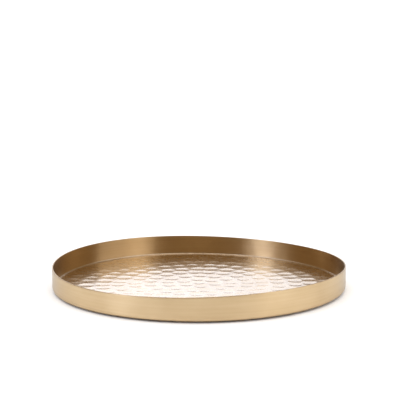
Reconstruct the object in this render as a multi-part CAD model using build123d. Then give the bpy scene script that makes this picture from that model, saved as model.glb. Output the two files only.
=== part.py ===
from build123d import *

import math
import os
import random

# Round brass serving tray: a hammered floor disc inside a rolled side wall, brazed together, on felt pads.
#
# Millimetres, +Z up. The origin is the centre of the tray on the table, under the felt pads. The front of
# the tray is towards -Y. The tray is made as a coppersmith makes it: a flat disc is hammered in rings, a
# strip is rolled into a hoop and its ends are brazed together, the disc is brazed inside the hoop with a
# fillet along the inner corner, and the outer corner is then filed round across hoop and disc.

# Overall sizes
tray_diameter = 300.0
tray_height = 24.0

# Sheet metal
wall_thickness = 1.2
floor_thickness = 1.2
rim_edge_radius = 0.35
outer_corner_radius = 3.0

# Brazed joints
disc_clearance = 0.05
braze_fillet_radius = 1.6
braze_contact_angle = 12.0
braze_facets = 4
wall_seam_width = 0.8
wall_seam_angle = 6.0

# Hammer marks in the floor
hammer_ball_radius = 50.0
mark_depth = 0.55
mark_depth_spread = 0.12
mark_pitch = 16.5
mark_ring_wander = 1.3
mark_turn_wander = 0.13
plain_border = 4.0
hammer_seed = 11

# Felt pads
pad_diameter = 16.0
pad_thickness = 1.5
pad_count = 4
pad_first_angle = 45.0
pad_inset = 38.0

# Sizes that follow from those above
outer_radius = tray_diameter / 2
inner_radius = outer_radius - wall_thickness
disc_radius = inner_radius - disc_clearance
underside_z = pad_thickness
floor_z = underside_z + floor_thickness
rim_z = tray_height

OUT = "parts"


def ring_prism(inner, outer, low, high):
    """A plain ring between two radii and two heights."""
    height = high - low
    base = (Align.CENTER, Align.CENTER, Align.MIN)
    return Pos(0, 0, low) * (Cylinder(outer, height, align=base) - Cylinder(inner, height, align=base))


def filed_envelope():
    """The tray's outer form with its lower edge filed round, which trims hoop and disc at that corner."""
    body = Pos(0, 0, underside_z) * Cylinder(
        outer_radius, tray_height, align=(Align.CENTER, Align.CENTER, Align.MIN)
    )
    lower_edge = body.edges().sort_by(Axis.Z)[0]
    return fillet(lower_edge, outer_corner_radius)


def rolled_hoop():
    """The whole side wall, seam included, with its rim edges eased and its lower corner filed round."""
    hoop = ring_prism(inner_radius, outer_radius, underside_z, rim_z)
    rim_edges = hoop.edges().group_by(Axis.Z)[-1].filter_by(GeomType.CIRCLE)
    return fillet(rim_edges, rim_edge_radius) & filed_envelope()


def seam_slab():
    """A radial slab through the hoop where the ends of the strip meet."""
    length = 4 * wall_thickness
    slab = Pos(outer_radius - length / 2, 0, tray_height / 2) * Box(length, wall_seam_width, 2 * tray_height)
    return Rot(0, 0, wall_seam_angle) * slab


def side_wall():
    return rolled_hoop() - seam_slab()


def wall_seam_braze():
    """The braze that fills the butt joint of the strip, filed flush inside and out."""
    return rolled_hoop() & seam_slab()


def hammer_marks():
    """(x, y, depth) of each hammer mark, struck in rings from the middle outwards by an uneven hand."""
    hand = random.Random(hammer_seed)

    def depth():
        return mark_depth * (1 + hand.uniform(-mark_depth_spread, mark_depth_spread))

    braze_toe = inner_radius - braze_leg()
    mark_radius = math.sqrt(2 * hammer_ball_radius * mark_depth)
    last_ring = braze_toe - plain_border - mark_ring_wander - mark_radius
    marks = [(0.0, 0.0, depth())]
    for ring in range(1, int(last_ring / mark_pitch) + 1):
        count = round(2 * math.pi * ring)
        first = hand.random()
        for i in range(count):
            turn = (i + first + hand.uniform(-mark_turn_wander, mark_turn_wander)) / count
            radius = ring * mark_pitch + hand.uniform(-mark_ring_wander, mark_ring_wander)
            angle = 2 * math.pi * turn
            marks.append((radius * math.cos(angle), radius * math.sin(angle), depth()))
    return marks


def hammer_cap(x, y, depth):
    """The part of the hammer's ball that sinks into the floor, with a little more above it."""
    above = 0.15
    half_width = math.sqrt(hammer_ball_radius**2 - (hammer_ball_radius - depth - above) ** 2)
    middle = half_width / 2
    middle_rise = hammer_ball_radius - math.sqrt(hammer_ball_radius**2 - middle**2)
    with BuildSketch(Plane.XZ) as section:
        with BuildLine():
            Line((0, 0), (0, depth + above))
            Line((0, depth + above), (half_width, depth + above))
            ThreePointArc((half_width, depth + above), (middle, middle_rise), (0, 0))
        make_face()
    return Pos(x, y, floor_z - depth) * revolve(section.sketch, Axis.Z)


def base_disc():
    """The floor: a disc inside the hoop, hammered on a flat stake so that its underside stays flat."""
    base = (Align.CENTER, Align.CENTER, Align.MIN)
    disc = Pos(0, 0, underside_z) * Cylinder(disc_radius, floor_thickness, align=base)
    disc = (disc & filed_envelope()).solid()
    return disc.cut(*[hammer_cap(*mark) for mark in hammer_marks()])


def braze_leg():
    """How far the braze fillet reaches along the floor and up the wall from the inner corner."""
    contact = math.radians(braze_contact_angle)
    return braze_fillet_radius * (math.cos(contact) - math.sin(contact))


def corner_braze():
    """The braze: a hollow fillet from a toe on the wall to a toe on the floor, as cones along its arc."""
    centre = braze_fillet_radius * math.cos(math.radians(braze_contact_angle))
    span = 90 - 2 * braze_contact_angle
    hollow = []
    for facet in range(braze_facets + 1):
        angle = math.radians(braze_contact_angle + span * facet / braze_facets)
        across = centre - braze_fillet_radius * math.cos(angle)
        up = centre - braze_fillet_radius * math.sin(angle)
        hollow.append((inner_radius - across, floor_z + up))
    with BuildSketch(Plane.XZ) as section:
        with BuildLine():
            Polyline((inner_radius, floor_z), *hollow, close=True)
        make_face()
    return revolve(section.sketch, Axis.Z)


def felt_pad(index):
    """One self-adhesive felt disc under the floor."""
    angle = math.radians(pad_first_angle + 360 * index / pad_count)
    radius = outer_radius - pad_inset
    pad = Cylinder(pad_diameter / 2, pad_thickness, align=(Align.CENTER, Align.CENTER, Align.MIN))
    return Pos(radius * math.cos(angle), radius * math.sin(angle), 0) * pad


def main():
    os.makedirs(OUT, exist_ok=True)
    nodes = {
        "base_disc": base_disc(),
        "side_wall": side_wall(),
        "corner_braze": corner_braze(),
        "wall_seam_braze": wall_seam_braze(),
    }
    for index in range(pad_count):
        nodes[f"felt_pad_{index + 1}"] = felt_pad(index)
    for name, shape in nodes.items():
        export_step(shape, os.path.join(OUT, f"{name}.step"))


main()
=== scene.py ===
import math
import random

import bpy
import numpy as np
from mathutils import Matrix, Vector, noise


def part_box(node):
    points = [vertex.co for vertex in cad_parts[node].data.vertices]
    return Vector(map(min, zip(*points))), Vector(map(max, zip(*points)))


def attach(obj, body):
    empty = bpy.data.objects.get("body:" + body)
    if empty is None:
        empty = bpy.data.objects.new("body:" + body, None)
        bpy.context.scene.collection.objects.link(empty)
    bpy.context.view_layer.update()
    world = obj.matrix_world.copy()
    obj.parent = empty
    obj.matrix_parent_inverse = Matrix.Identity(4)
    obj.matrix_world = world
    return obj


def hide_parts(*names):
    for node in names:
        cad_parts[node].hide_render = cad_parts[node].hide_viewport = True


# The looks of a round brass tray: a hammered, polished floor inside a satin brushed wall, on felt pads.
# Metres, +Z up, in the CAD's frame: the origin is on the table under the tray and -Y is the front.

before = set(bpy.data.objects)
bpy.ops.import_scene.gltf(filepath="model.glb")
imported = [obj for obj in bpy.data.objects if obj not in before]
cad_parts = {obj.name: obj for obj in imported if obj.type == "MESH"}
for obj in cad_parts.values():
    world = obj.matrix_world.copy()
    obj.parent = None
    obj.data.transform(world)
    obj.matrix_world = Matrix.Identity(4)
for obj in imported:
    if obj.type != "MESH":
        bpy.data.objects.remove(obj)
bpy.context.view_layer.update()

# Sizes read from the frame
disc_low, disc_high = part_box("base_disc")
wall_low, wall_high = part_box("side_wall")
braze_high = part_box("corner_braze")[1]
underside_z = disc_low.z
floor_z = disc_high.z
rim_z = wall_high.z
outer_radius = wall_high.x
inner_radius = braze_high.x
disc_radius = disc_high.x
braze_leg = braze_high.z - floor_z

# Sizes that the CAD model names
mm = 0.001
rim_edge_radius = 0.35 * mm
outer_corner_radius = 3.0 * mm
braze_contact_angle = 12.0
wall_seam_width = 0.8 * mm
wall_seam_angle = 6.0
hammer_ball_radius = 50.0 * mm
mark_depth = 0.55 * mm
mark_depth_spread = 0.12
mark_pitch = 16.5 * mm
mark_ring_wander = 1.3 * mm
mark_turn_wander = 0.13
plain_border = 4.0 * mm
hammer_seed = 11
pad_count = 4

# A small round that only the looks have
pad_edge_radius = 0.3 * mm

# How finely the meshes are divided
steps_round_tray = 720
steps_round_pad = 64
steps_up_wall = 14
steps_round_corner = 7
steps_round_edge = 4
steps_round_fillet = 10
steps_across_seam = 2
floor_rings = 168
floor_sides = 6
steps_under_floor = 6


# ---------------------------------------------------------------- meshes


def add_mesh(name, points, faces, smooth_angle=35.0):
    """A mesh object, smooth but for edges sharper than smooth_angle degrees."""
    mesh = bpy.data.meshes.new(name)
    mesh.from_pydata(points, [], faces)
    mesh.update()
    mesh.shade_smooth()
    mesh.set_sharp_from_angle(angle=math.radians(smooth_angle))
    piece = bpy.data.objects.new(name, mesh)
    bpy.context.scene.collection.objects.link(piece)
    return piece


def arc(centre, radius, first, last, steps):
    """Points (r, z) along an arc, from first to last in degrees, both ends included."""
    angles = [math.radians(first + (last - first) * i / steps) for i in range(steps + 1)]
    return [(centre[0] + radius * math.cos(a), centre[1] + radius * math.sin(a)) for a in angles]


def line(start, end, steps):
    """Points between start and end, both left out."""
    return [
        tuple(s + (e - s) * i / steps for s, e in zip(start, end))
        for i in range(1, steps)
    ]


def lathe(name, profile, steps, first=0.0, last=360.0, shift=None):
    """Turns a closed profile of (r, z) points about Z, from first to last in degrees.

    shift, if given, moves each point.
    """
    closed = last - first >= 360.0
    turns = steps if closed else steps + 1
    points = []
    for i in range(turns):
        angle = math.radians(first + (last - first) * i / steps)
        for r, z in profile:
            point = Vector((r * math.cos(angle), r * math.sin(angle), z))
            points.append(shift(point) if shift else point)
    count = len(profile)
    faces = []
    for i in range(steps):
        here = i * count
        there = ((i + 1) % turns) * count
        for j in range(count):
            k = (j + 1) % count
            faces.append((here + j, there + j, there + k, here + k))
    if not closed:
        faces.append(tuple(range(count)))
        faces.append(tuple(reversed(range(steps * count, steps * count + count))))
    return add_mesh(name, points, faces)


# ---------------------------------------------------------------- the hand's unevenness

# The wall's slight waves and the tray's warp, a saddle that is highest and lowest on its diagonals. At the
# rim it reaches rim_saddle. At the floor it fades from the back to nothing at the front: floor_saddle is what
# it would reach straight behind, and on the back diagonals it comes to about 1.1 mm. Inside flat_radius,
# where the pads are, the tray is flat.
wall_wave = 0.10 * mm
wall_wave_length = 38 * mm
floor_saddle = 1.3 * mm
rim_saddle = 1.8 * mm
flat_radius = 121 * mm
saddle_power = 1.5


def saddle(x, y, share):
    """The height lost to the tray's warp, which is a saddle; share is 0 at the floor and 1 at the rim."""
    away = max(0.0, math.hypot(x, y) - flat_radius) / (outer_radius - flat_radius)
    angle = math.atan2(y, x)
    at_floor = floor_saddle * (1 + math.sin(angle)) / 2
    height = at_floor + (rim_saddle - at_floor) * share
    return height * min(1.0, away) ** saddle_power * math.sin(2 * angle)


def uneven_wall(point):
    """A rolled wall's slight waves and its warp, which is most at the rim."""
    share = (point.z - underside_z) / (rim_z - underside_z)
    wave = wall_wave * noise.noise(point / wall_wave_length)
    outwards = Vector((point.x, point.y, 0)).normalized()
    return point + outwards * wave - Vector((0, 0, saddle(point.x, point.y, share)))


def warped(point):
    """A point of the floor or of its joint, moved with the tray's warp."""
    return point - Vector((0, 0, saddle(point.x, point.y, 0.0)))


# ---------------------------------------------------------------- the hammered floor


def hammer_marks():
    """(x, y, depth) of each hammer mark, as the CAD model strikes them."""
    hand = random.Random(hammer_seed)

    def depth():
        return mark_depth * (1 + hand.uniform(-mark_depth_spread, mark_depth_spread))

    braze_toe = inner_radius - braze_leg
    mark_radius = math.sqrt(2 * hammer_ball_radius * mark_depth)
    last_ring = braze_toe - plain_border - mark_ring_wander - mark_radius
    marks = [(0.0, 0.0, depth())]
    for ring in range(1, int(last_ring / mark_pitch) + 1):
        count = round(2 * math.pi * ring)
        first = hand.random()
        for i in range(count):
            turn = (i + first + hand.uniform(-mark_turn_wander, mark_turn_wander)) / count
            radius = ring * mark_pitch + hand.uniform(-mark_ring_wander, mark_ring_wander)
            angle = 2 * math.pi * turn
            marks.append((radius * math.cos(angle), radius * math.sin(angle), depth()))
    return marks


# Polishing has rubbed the ridges soft and left mark_wear of each mark's depth. A mark is flatter in the
# middle than the CAD's ball: mark_roundness of its rise goes with the square of the distance from there and
# the rest with the fourth power. exponent_cap keeps a far-off mark's exponential from underflowing.
ridge_softness = 0.10 * mm
mark_roundness = 0.3
mark_wear = 0.7
exponent_cap = 60.0


def hammered(x, y):
    """The height of the hammered surface above the flat sheet, which is below zero inside a mark."""
    weight = np.ones_like(x)
    for mark_x, mark_y, depth in hammer_marks():
        spread = ((x - mark_x) ** 2 + (y - mark_y) ** 2) / (2 * hammer_ball_radius * depth)
        rise = mark_wear * depth * (mark_roundness * spread + (1 - mark_roundness) * spread**2 - 1)
        weight += np.exp(-np.minimum(rise / ridge_softness, exponent_cap))
    return -ridge_softness * np.log(weight)


def add_underside(points, faces, rim):
    """Adds the disc's edge, filed round below, and its flat underside; rim holds its outermost points."""
    corner = (outer_radius - outer_corner_radius, underside_z + outer_corner_radius)
    meets = math.degrees(math.acos((disc_radius - corner[0]) / outer_corner_radius))
    above = rim
    for r, z in arc(corner, outer_corner_radius, -meets, -90, steps_under_floor):
        below = []
        for index in rim:
            angle = math.atan2(points[index][1], points[index][0])
            below.append(len(points))
            points.append((r * math.cos(angle), r * math.sin(angle), z))
        for i in range(len(rim)):
            j = (i + 1) % len(rim)
            faces.append((above[i], below[i], below[j], above[j]))
        above = below
    middle = len(points)
    points.append((0, 0, underside_z))
    for i in range(len(above)):
        faces.append((above[(i + 1) % len(above)], above[i], middle))


def disc_mesh(name):
    """The floor's disc: rings of evenly spaced points on top, a rounded edge and a flat underside."""
    spacing = disc_radius / floor_rings
    xs, ys, start = [0.0], [0.0], [0, 1]
    for ring in range(1, floor_rings + 1):
        for i in range(floor_sides * ring):
            angle = 2 * math.pi * i / (floor_sides * ring)
            xs.append(ring * spacing * math.cos(angle))
            ys.append(ring * spacing * math.sin(angle))
        start.append(len(xs))
    xs, ys = np.array(xs), np.array(ys)
    zs = floor_z + hammered(xs, ys)
    points = list(zip(xs.tolist(), ys.tolist(), zs.tolist()))
    faces = []
    for ring in range(1, floor_rings + 1):
        inner, outer = floor_sides * (ring - 1) or 1, floor_sides * ring
        for side in range(floor_sides):
            for k in range(ring):
                a = start[ring] + (side * ring + k) % outer
                b = start[ring] + (side * ring + k + 1) % outer
                c = start[ring - 1] + (side * (ring - 1) + k) % inner
                faces.append((a, b, c))
                if k < ring - 1:
                    d = start[ring - 1] + (side * (ring - 1) + k + 1) % inner
                    faces.append((b, d, c))
    add_underside(points, faces, range(start[floor_rings], start[floor_rings + 1]))
    return add_mesh(name, [warped(Vector(point)) for point in points], faces)


# ---------------------------------------------------------------- materials

# Sockets of the Mix node in its colour mode
mix_factor, mix_first, mix_second, mix_result = 0, 6, 7, 2


class Nodes:
    """A new material's node tree with short calls to add and join nodes."""

    def __init__(self, name):
        self.material = bpy.data.materials.new(name)
        self.material.use_nodes = True
        self.tree = self.material.node_tree
        self.shader = self.tree.nodes["Principled BSDF"]

    def add(self, kind, inputs=(), **settings):
        node = self.tree.nodes.new(kind)
        for key, value in settings.items():
            setattr(node, key, value)
        for key, value in dict(inputs).items():
            if isinstance(value, bpy.types.NodeSocket):
                self.tree.links.new(value, node.inputs[key])
            else:
                node.inputs[key].default_value = value
        return node

    def math(self, operation, *values):
        return self.add("ShaderNodeMath", dict(enumerate(values)), operation=operation).outputs[0]

    def noise(self, vector, scale, detail, rough):
        inputs = {"Vector": vector, "Scale": scale, "Detail": detail, "Roughness": rough}
        return self.add("ShaderNodeTexNoise", inputs).outputs["Fac"]

    def stretch(self, vector, x, y, z):
        inputs = {"Vector": vector, "Scale": (x, y, z)}
        return self.add("ShaderNodeMapping", inputs).outputs["Vector"]

    def ramp(self, value, low, high, out_low, out_high):
        inputs = {
            "Value": value, "From Min": low, "From Max": high, "To Min": out_low, "To Max": out_high
        }
        return self.add("ShaderNodeMapRange", inputs).outputs["Result"]

    def spread(self, value, out_low, out_high):
        """A noise, most of which lies from 0.3 to 0.7, mapped to a range."""
        return self.ramp(value, 0.3, 0.7, out_low, out_high)

    def tint(self, value, first, second):
        """One colour passing into another across the middle of a noise."""
        return self.mix(self.ramp(value, 0.35, 0.65, 0, 1), first, second)

    def mix(self, factor, first, second):
        node = self.add("ShaderNodeMix", data_type="RGBA")
        for index, value in ((mix_factor, factor), (mix_first, first), (mix_second, second)):
            if isinstance(value, bpy.types.NodeSocket):
                self.tree.links.new(value, node.inputs[index])
            else:
                node.inputs[index].default_value = value
        return node.outputs[mix_result]

    def object_position(self):
        return self.add("ShaderNodeTexCoord").outputs["Object"]

    def downwards(self):
        """1 where the surface faces straight down, -1 where it faces straight up."""
        normal = self.add("ShaderNodeTexCoord").outputs["Normal"]
        up = self.add("ShaderNodeSeparateXYZ", {"Vector": normal}).outputs["Z"]
        return self.math("MULTIPLY", up, -1.0)

    def around(self):
        """Position unrolled from the tray's axis: (distance around, height, radius), in metres."""
        turned = self.add(
            "ShaderNodeVectorRotate",
            {"Vector": self.object_position(), "Angle": math.radians(180 - wall_seam_angle)},
            rotation_type="Z_AXIS",
        )
        split = self.add("ShaderNodeSeparateXYZ", {"Vector": turned.outputs["Vector"]})
        x, y, z = split.outputs
        angle = self.math("ARCTAN2", y, x)
        squares = self.math("ADD", self.math("MULTIPLY", x, x), self.math("MULTIPLY", y, y))
        radius = self.math("SQRT", squares)
        length = self.math("MULTIPLY", angle, outer_radius)
        return self.add("ShaderNodeCombineXYZ", {"X": length, "Y": z, "Z": radius}).outputs["Vector"]

    def bump(self, height, distance, strength, normal=None):
        inputs = {"Height": height, "Distance": distance, "Strength": strength}
        if normal is not None:
            inputs["Normal"] = normal
        return self.add("ShaderNodeBump", inputs).outputs["Normal"]

    def link(self, value, socket):
        self.tree.links.new(value, self.shader.inputs[socket])

    def set(self, **values):
        """Sets uniform shader inputs by name: coat_weight sets Coat Weight."""
        for key, value in values.items():
            self.shader.inputs[key.replace("_", " ").title()].default_value = value


# The metals, each as a paler and a deeper tone that pass into one another in patches, and the felt's fibres
brass = (0.69, 0.52, 0.31, 1)
brass_deep = (0.635, 0.465, 0.265, 1)
floor_brass = (0.73, 0.56, 0.35, 1)
floor_brass_deep = (0.67, 0.50, 0.30, 1)
# The brass that faces down is darker as painted shade under the tray; that side is also truly rougher and
# unlacquered.
shaded_underside_brass = (0.42, 0.25, 0.10, 1)
shaded_underside_brass_deep = (0.34, 0.20, 0.08, 1)
braze_pale = (0.74, 0.62, 0.48, 1)
braze_deep = (0.66, 0.54, 0.40, 1)
felt_dark = (0.03, 0.02, 0.014, 1)
felt_pale = (0.075, 0.052, 0.038, 1)


def brushed_brass():
    """The wall: satin, with fine lines that run round it and a few broader bands."""
    n = Nodes("brushed_brass")
    around = n.around()
    fine = n.noise(n.stretch(around, 22, 2600, 2600), scale=1.0, detail=3.0, rough=0.6)
    bands = n.noise(n.stretch(around, 9, 420, 420), scale=1.0, detail=3.0, rough=0.55)
    patches = n.noise(n.object_position(), scale=28, detail=3.0, rough=0.5)
    tone = n.math("ADD", n.math("MULTIPLY", bands, 0.55), n.math("MULTIPLY", patches, 0.45))
    n.link(n.tint(tone, brass, brass_deep), "Base Color")
    n.link(n.math("ADD", n.spread(fine, 0.28, 0.37), n.spread(patches, -0.02, 0.03)), "Roughness")
    broad = n.bump(bands, distance=0.010 * mm, strength=0.5)
    n.link(n.bump(fine, distance=0.010 * mm, strength=0.6, normal=broad), "Normal")
    n.set(metallic=1.0, anisotropic=0.8, anisotropic_rotation=0.25, coat_weight=0.15, coat_roughness=0.25)
    n.set(specular_tint=(0.72, 0.72, 0.72, 1))
    n.link(n.add("ShaderNodeTangent", direction_type="RADIAL", axis="Z").outputs[0], "Tangent")
    return n.material


def hammered_brass():
    """The floor: polished and lacquered above, slightly hazy in patches, and dull underneath, where its
    darker brass is painted shade.
    """
    n = Nodes("hammered_brass")
    position = n.object_position()
    patches = n.noise(position, scale=26, detail=3.0, rough=0.55)
    haze = n.noise(position, scale=180, detail=3.0, rough=0.6)
    # 1 on faces that point down: they get more roughness and no lacquer, and a darker colour that is painted
    #                             shade.
    dull_and_shaded = n.ramp(n.downwards(), 0.3, 0.9, 0, 1)
    polished = n.tint(patches, floor_brass, floor_brass_deep)
    dull_shaded_brass = n.tint(patches, shaded_underside_brass, shaded_underside_brass_deep)
    n.link(n.mix(dull_and_shaded, polished, dull_shaded_brass), "Base Color")
    polish = n.math("ADD", n.spread(haze, 0.23, 0.29), n.spread(patches, 0, 0.03))
    n.link(n.math("ADD", polish, n.math("MULTIPLY", dull_and_shaded, 0.2)), "Roughness")
    n.link(n.math("SUBTRACT", 1.0, dull_and_shaded), "Coat Weight")
    n.link(n.bump(haze, distance=0.006 * mm, strength=0.5), "Normal")
    n.set(metallic=1.0, coat_roughness=0.12)
    return n.material


def braze_metal():
    """The brazing alloy: a little paler than the sheet and polished by hand along the joint."""
    n = Nodes("braze")
    around = n.around()
    lines = n.noise(n.stretch(around, 40, 1800, 1800), scale=1.0, detail=3.0, rough=0.6)
    drops = n.noise(n.stretch(around, 120, 120, 120), scale=1.0, detail=3.0, rough=0.5)
    n.link(n.tint(drops, braze_pale, braze_deep), "Base Color")
    n.link(n.spread(lines, 0.32, 0.42), "Roughness")
    n.link(n.bump(drops, distance=0.05 * mm, strength=0.6), "Normal")
    n.set(metallic=1.0)
    return n.material


def felt():
    """Pressed wool felt: matt, with short fibres that lie flat."""
    n = Nodes("felt")
    position = n.object_position()
    fibres = n.noise(n.stretch(position, 900, 900, 2500), scale=1.0, detail=6.0, rough=0.75)
    n.link(n.mix(fibres, felt_dark, felt_pale), "Base Color")
    n.link(n.bump(fibres, distance=0.25 * mm, strength=1.0), "Normal")
    n.set(roughness=0.95, sheen_weight=0.3)
    return n.material


# ---------------------------------------------------------------- pieces


def place(piece, node, material):
    """Gives a piece its material and makes it the look of one CAD node, which it replaces."""
    piece.data.materials.append(material)
    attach(piece, "root")
    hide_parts(node)


def wall_profile():
    """The hoop's section: up the inner face, over the rim, down the outer face and round the corner."""
    corner = (outer_radius - outer_corner_radius, underside_z + outer_corner_radius)
    meets = math.degrees(math.acos((inner_radius - corner[0]) / outer_corner_radius))
    inner_top = (inner_radius + rim_edge_radius, rim_z - rim_edge_radius)
    outer_top = (outer_radius - rim_edge_radius, rim_z - rim_edge_radius)
    inner_bottom = (inner_radius, wall_low.z)
    profile = [inner_bottom]
    profile += line(inner_bottom, (inner_radius, inner_top[1]), steps_up_wall)
    profile += arc(inner_top, rim_edge_radius, 180, 90, steps_round_edge)
    profile += arc(outer_top, rim_edge_radius, 90, 0, steps_round_edge)
    profile += line((outer_radius, outer_top[1]), (outer_radius, corner[1]), steps_up_wall)
    profile += arc(corner, outer_corner_radius, 0, -meets, steps_round_corner)[:-1]
    return profile


def half_seam():
    """Half the seam's width as an angle in degrees."""
    return math.degrees(wall_seam_width / 2 / outer_radius)


def side_wall():
    """The hoop, open at its seam."""
    half_gap = half_seam()
    first = wall_seam_angle + half_gap
    last = wall_seam_angle + 360 - half_gap
    piece = lathe("satin_wall", wall_profile(), steps_round_tray, first, last, uneven_wall)
    place(piece, "side_wall", brushed_brass())


def wall_seam(material):
    """The braze that fills the hoop's gap, flush with it inside and out."""
    first = wall_seam_angle - half_seam()
    last = wall_seam_angle + half_seam()
    piece = lathe("seam_fill", wall_profile(), steps_across_seam, first, last, uneven_wall)
    place(piece, "wall_seam_braze", material)


def corner_fillet(material):
    """The braze along the inner corner, a hollow arc whose toes thin out on floor and wall."""
    contact = math.radians(braze_contact_angle)
    radius = braze_leg / (math.cos(contact) - math.sin(contact))
    across = radius * math.cos(contact)
    centre = (inner_radius - across, floor_z + across)
    hollow = arc(centre, radius, -braze_contact_angle, braze_contact_angle - 90, steps_round_fillet)
    piece = lathe("corner_fillet", [(inner_radius, floor_z)] + hollow, steps_round_tray, shift=warped)
    place(piece, "corner_braze", material)


def floor_disc():
    """The hammered floor."""
    place(disc_mesh("hammered_floor"), "base_disc", hammered_brass())


def felt_pads():
    """The four felt pads, each with its lower edge a little rounded."""
    material = felt()
    for index in range(1, pad_count + 1):
        node = f"felt_pad_{index}"
        low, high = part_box(node)
        middle = (low + high) / 2
        radius = (high.x - low.x) / 2
        edge = (radius - pad_edge_radius, low.z + pad_edge_radius)
        profile = [(0.0, low.z), (edge[0], low.z)]
        profile += arc(edge, pad_edge_radius, -90, 0, steps_round_edge)[1:]
        profile += [(radius, high.z), (0.0, high.z)]
        offset = Vector((middle.x, middle.y, 0))
        piece = lathe(f"pad_{index}", profile, steps_round_pad, shift=lambda point: point + offset)
        place(piece, node, material)


# ---------------------------------------------------------------- stage, lights and camera


# The backdrop's glow passes from backdrop_left to backdrop_right across its middle, over backdrop_fade of
# its width to either side.
table_size = 9.0
table_paint = (0.87, 0.87, 0.87, 1)
backdrop_place = (0, 2.4, 1.3)
backdrop_scale = (2.5, 2.6, 1.0)
backdrop_paint = (0.3, 0.3, 0.3, 1)
backdrop_light = (0.96, 1.0, 1.15, 1)
backdrop_fade = 0.25
backdrop_left = 1.22
backdrop_right = 0.86


def table_white():
    """A matt white table top."""
    n = Nodes("table_white")
    n.set(base_color=table_paint, roughness=0.9)
    n.shader.inputs["Specular IOR Level"].default_value = 0.1
    return n.material


def backdrop_white():
    """The backdrop, which is brighter to the left."""
    n = Nodes("backdrop_white")
    across = n.add("ShaderNodeSeparateXYZ", {"Vector": n.object_position()}).outputs["X"]
    glow = n.ramp(across, -backdrop_fade, backdrop_fade, backdrop_left, backdrop_right)
    n.link(glow, "Emission Strength")
    n.set(base_color=backdrop_paint, emission_color=backdrop_light, roughness=0.9)
    return n.material


def stage():
    """A pale table top and, behind it, a broad bright backdrop that stands on it."""
    bpy.ops.mesh.primitive_plane_add(size=table_size, location=(0, 0, 0))
    table = bpy.context.object
    table.name = "table_top"
    table.data.materials.append(table_white())
    upright = (math.radians(90), 0, 0)
    bpy.ops.mesh.primitive_plane_add(size=1.0, location=backdrop_place, rotation=upright)
    backdrop = bpy.context.object
    backdrop.name = "backdrop"
    backdrop.scale = backdrop_scale
    backdrop.data.materials.append(backdrop_white())


white_light = (1.0, 1.0, 1.0)


def soft_box(name, azimuth, elevation, distance, width, height, radiance, colour=white_light):
    """An area light aimed at the tray, from azimuth degrees to the right of the front."""
    light = bpy.data.lights.new(name, "AREA")
    light.shape = "RECTANGLE"
    light.size = width
    light.size_y = height
    light.energy = radiance * math.pi * width * height
    light.color = colour
    a, e = math.radians(azimuth), math.radians(elevation)
    away = Vector((math.sin(a) * math.cos(e), -math.cos(a) * math.cos(e), math.sin(e)))
    lamp = bpy.data.objects.new(name, light)
    lamp.location = away * distance
    lamp.rotation_mode = "QUATERNION"
    lamp.rotation_quaternion = away.to_track_quat("Z", "Y")
    bpy.context.scene.collection.objects.link(lamp)


# The room is dim and warm where the brass mirrors it. To the camera, and to rays that have left a matt
# surface, it is white, so that the table is evenly white right up to the tray.
dim_room = (0.25, 0.17, 0.086, 1)
white_room = (1.12, 1.12, 1.12, 1)


def studio():
    """The room, an overhead box and, to each side of the lens, a soft box with a dimmer fill beyond it."""
    world = bpy.data.worlds.new("studio")
    world.use_nodes = True
    tree = world.node_tree
    mix = tree.nodes.new("ShaderNodeMix")
    mix.data_type = "RGBA"
    mix.inputs[mix_first].default_value = dim_room
    mix.inputs[mix_second].default_value = white_room
    path = tree.nodes.new("ShaderNodeLightPath").outputs
    white = tree.nodes.new("ShaderNodeMath")
    white.operation = "MAXIMUM"
    tree.links.new(path["Diffuse Depth"], white.inputs[0])
    tree.links.new(path["Is Camera Ray"], white.inputs[1])
    tree.links.new(white.outputs[0], mix.inputs[mix_factor])
    tree.links.new(mix.outputs[mix_result], tree.nodes["Background"].inputs["Color"])
    bpy.context.scene.world = world
    # name, azimuth, elevation, distance, width, height, radiance, colour
    soft_box("overhead", 0, 88, 1.7, 3.0, 0.9, 1.3)
    soft_box("left_box", -58, 24, 1.6, 0.5, 1.1, 2.0, (0.87, 1.0, 1.3))
    soft_box("left_fill", -76, 24, 1.6, 0.4, 1.1, 0.4, (0.9, 1.0, 1.2))
    soft_box("right_box", 53, 22, 1.6, 0.55, 1.1, 1.15)
    soft_box("right_fill", 80, 22, 1.6, 0.95, 1.1, 0.75)


# The camera stands camera_distance from a point on the tray's axis that is camera_pivot below the rim, and
# camera_elevation above that point's level. It looks down by camera_aim only, so it looks over the tray.
sensor_width = 36.0
lens_length = 90.0
clip_start = 0.01
camera_distance = 1.0378
camera_pivot = 24.6 * mm
camera_elevation = math.radians(13.32)
camera_aim = math.radians(8.43)
camera_pan = math.radians(-0.07)
camera_roll = math.radians(-0.15)


def camera():
    """A long lens just above the tray, aimed over it so that the tray sits low in the frame."""
    data = bpy.data.cameras.new("camera")
    data.sensor_width = sensor_width
    data.lens = lens_length
    data.clip_start = clip_start
    back = -camera_distance * math.cos(camera_elevation)
    height = camera_distance * math.sin(camera_elevation) + rim_z - camera_pivot
    turn = Matrix.Rotation(camera_pan, 4, "Z") @ Matrix.Rotation(math.pi / 2 - camera_aim, 4, "X")
    roll = Matrix.Rotation(camera_roll, 4, "Z")
    cam = bpy.data.objects.new("camera", data)
    bpy.context.scene.collection.objects.link(cam)
    cam.matrix_world = Matrix.Translation(Vector((0, back, height))) @ turn @ roll
    bpy.context.scene.camera = cam


floor_disc()
side_wall()
braze = braze_metal()
corner_fillet(braze)
wall_seam(braze)
felt_pads()
stage()
studio()
camera()
bpy.context.scene.view_settings.view_transform = "Standard"
